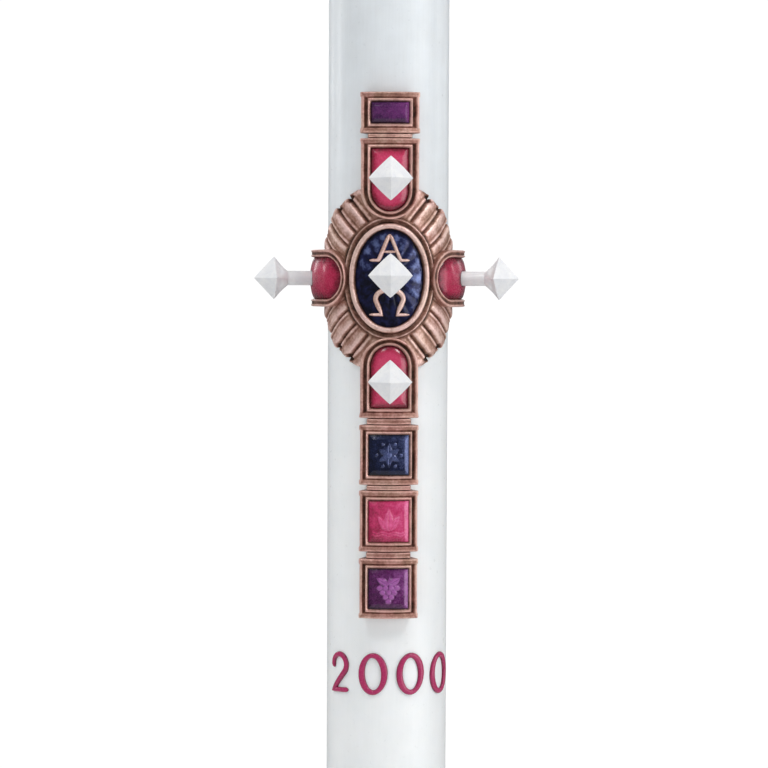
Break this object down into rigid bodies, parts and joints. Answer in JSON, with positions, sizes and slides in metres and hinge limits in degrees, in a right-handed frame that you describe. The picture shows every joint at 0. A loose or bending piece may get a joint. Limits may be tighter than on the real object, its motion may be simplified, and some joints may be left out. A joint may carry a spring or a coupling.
{
  "type": "paschal candle",
  "caption": "Tall white wax pillar candle with a jewelled wax cross, sunburst medallion, pull-out incense nails and year numerals.",
  "frame": {"origin": "centre of the candle's flat base", "axes": "+Z along the candle, up to the wick; -Y out of the front, where the cross is; +X to the right seen from the front"},
  "size_m": [0.166, 0.1239, 0.9364],
  "materials": {
    "wax": "satin white candle wax",
    "cotton": "braided cotton wick",
    "bronze_wax": "rose bronze painted wax",
    "raspberry_wax": "glossy raspberry wax",
    "purple_wax": "glossy purple wax",
    "navy_wax": "glossy dark blue wax",
    "numeral_wax": "glossy raspberry wax",
    "pearl_wax": "pearly white wax",
    "incense": "amber resin grain"
  },
  "bodies": {
    "candle": {"candle_body": "wax", "wick": "cotton", "upper_arm_frame": "bronze_wax", "lower_arm_frame": "bronze_wax", "left_arm_frame": "bronze_wax", "right_arm_frame": "bronze_wax", "upper_cabochon": "raspberry_wax", "lower_cabochon": "raspberry_wax", "left_cabochon": "raspberry_wax", "right_cabochon": "raspberry_wax", "top_tile_frame": "bronze_wax", "navy_tile_frame": "bronze_wax", "pink_tile_frame": "bronze_wax", "purple_tile_frame": "bronze_wax", "top_tile_jewel": "purple_wax", "navy_tile_jewel": "navy_wax", "pink_tile_jewel": "raspberry_wax", "purple_tile_jewel": "purple_wax", "top_connector": "bronze_wax", "upper_connector": "bronze_wax", "middle_connector": "bronze_wax", "bottom_connector": "bronze_wax", "sunburst_plate": "bronze_wax", "medallion_ring": "bronze_wax", "medallion_field": "navy_wax", "first_letter": "bronze_wax", "last_letter": "bronze_wax", "first_numeral": "numeral_wax", "second_numeral": "numeral_wax", "third_numeral": "numeral_wax", "fourth_numeral": "numeral_wax"},
    "upper_nail": {"nail_upper": "pearl_wax", "incense_upper": "incense"},
    "centre_nail": {"nail_centre": "pearl_wax", "incense_centre": "incense"},
    "lower_nail": {"nail_lower": "pearl_wax", "incense_lower": "incense"},
    "left_nail": {"nail_left": "pearl_wax", "incense_left": "incense"},
    "right_nail": {"nail_right": "pearl_wax", "incense_right": "incense"}
  },
  "joints": [
    {"name": "upper_nail_slide", "type": "slide", "parent": "candle", "child": "upper_nail", "axis": [0, -1, 0], "range_m": [-0.012, 0.03]},
    {"name": "centre_nail_slide", "type": "slide", "parent": "candle", "child": "centre_nail", "axis": [0, -1, 0], "range_m": [-0.012, 0.03]},
    {"name": "lower_nail_slide", "type": "slide", "parent": "candle", "child": "lower_nail", "axis": [0, -1, 0], "range_m": [-0.012, 0.03]},
    {"name": "left_nail_slide", "type": "slide", "parent": "candle", "child": "left_nail", "axis": [-0.9877, -0.1564, 0], "range_m": [-0.012, 0.03]},
    {"name": "right_nail_slide", "type": "slide", "parent": "candle", "child": "right_nail", "axis": [0.9455, -0.3256, 0], "range_m": [-0.012, 0.03]}
  ]
}
